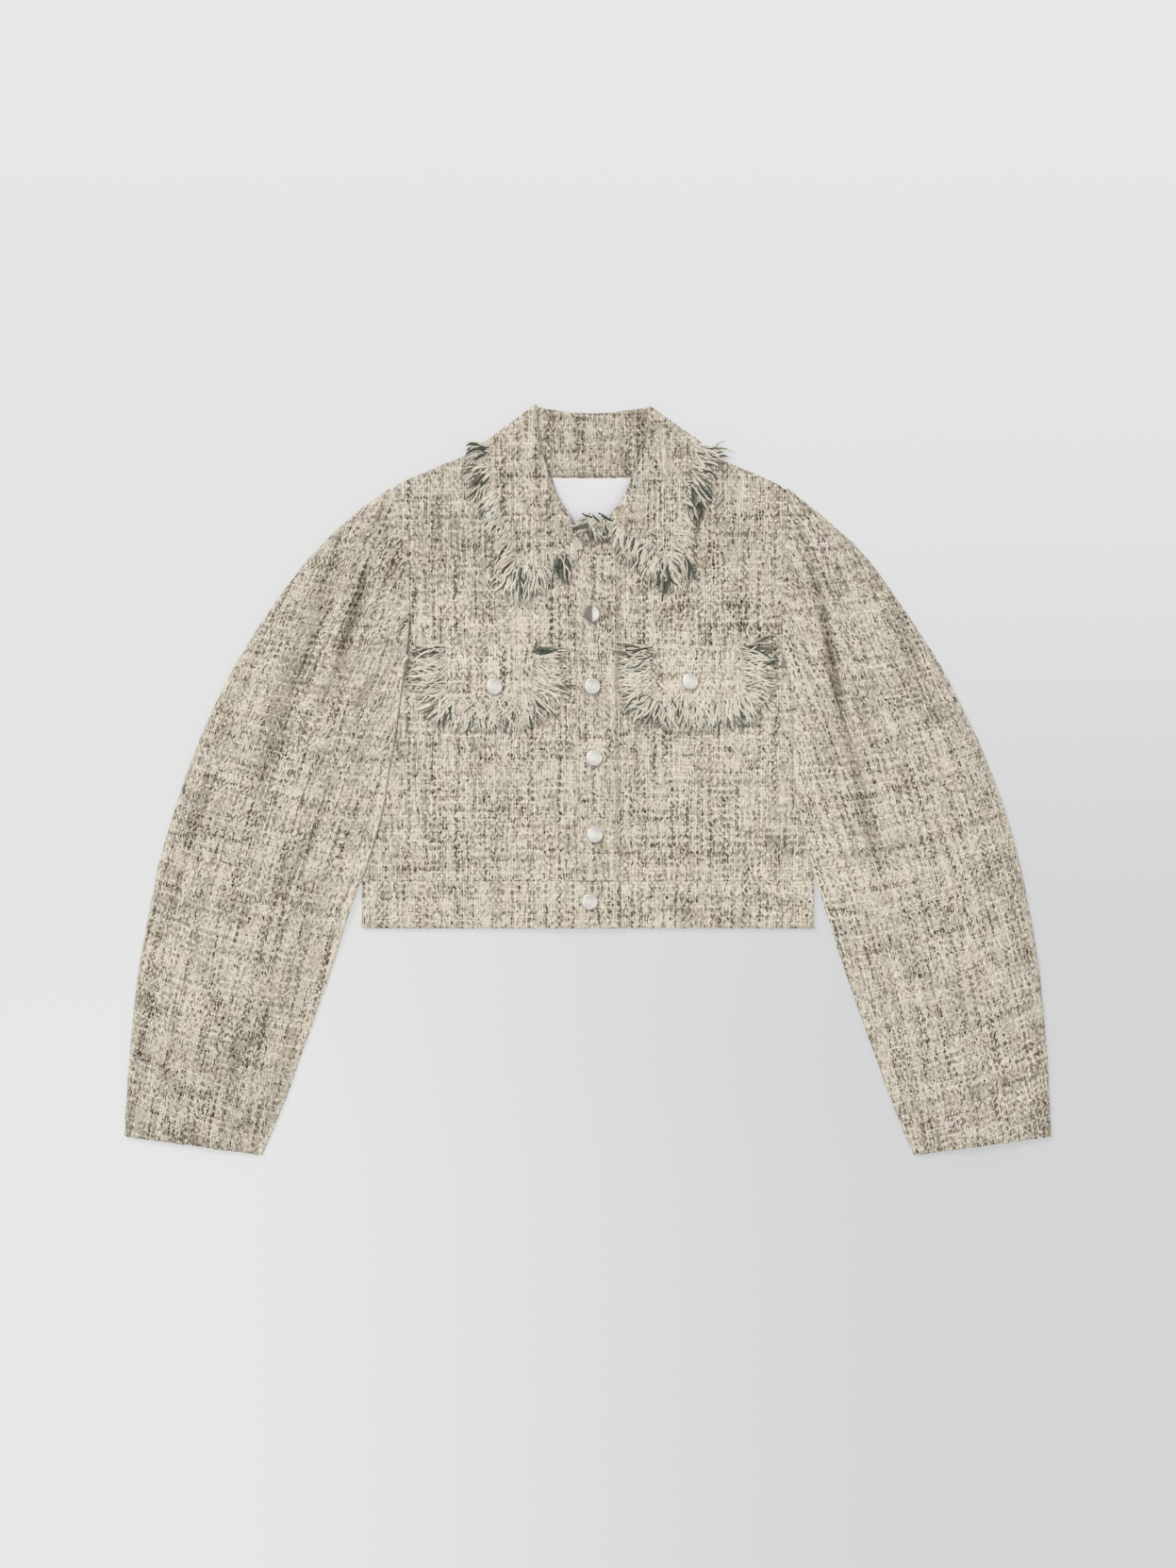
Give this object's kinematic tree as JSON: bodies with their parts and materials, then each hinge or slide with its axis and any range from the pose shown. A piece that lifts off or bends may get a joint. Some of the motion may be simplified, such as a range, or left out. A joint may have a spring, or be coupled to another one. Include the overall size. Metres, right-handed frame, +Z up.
{
  "type": "cropped tweed jacket",
  "caption": "Cropped long-sleeved tweed jacket laid flat, with a pointed fringed collar, fringed pocket flaps, a buttoned front and a waistband.",
  "frame": {"origin": "centre of the bounding box in plan, on the surface the jacket lies on", "axes": "+X towards the wearer's left, across both sleeves; +Y from hem to collar; +Z up from the surface, out of the jacket's front"},
  "size_m": [0.932, 0.7551, 0.021],
  "materials": {
    "tweed": "coarse boucle tweed in cream, grey-green and near-black, matte with a short nap",
    "fringe": "frayed tweed yarns, cream with dark green and grey-green strands, matte",
    "label": "plain white satin-woven label, no text",
    "button": "pale polished silver-tone metal, plain"
  },
  "bodies": {
    "root": {"back": "tweed", "front_right": "tweed", "front_left": "tweed", "placket": "tweed", "waistband_back": "tweed", "waistband_front_left": "tweed", "waistband_front_right": "tweed", "top_sleeve_right": "tweed", "top_sleeve_left": "tweed", "under_sleeve_right": "tweed", "under_sleeve_left": "tweed", "collar_stand": "tweed", "collar_fall": "tweed", "pocket_flap_right": "tweed", "pocket_flap_left": "tweed", "fringe_collar_right": "fringe", "fringe_collar_left": "fringe", "fringe_collar_back": "fringe", "fringe_flap_right": "fringe", "fringe_flap_left": "fringe", "neck_label": "label", "button_front_1": "button", "button_front_2": "button", "button_front_3": "button", "button_front_4": "button", "button_front_5": "button", "button_flap_right": "button", "button_flap_left": "button"}
  },
  "joints": []
}
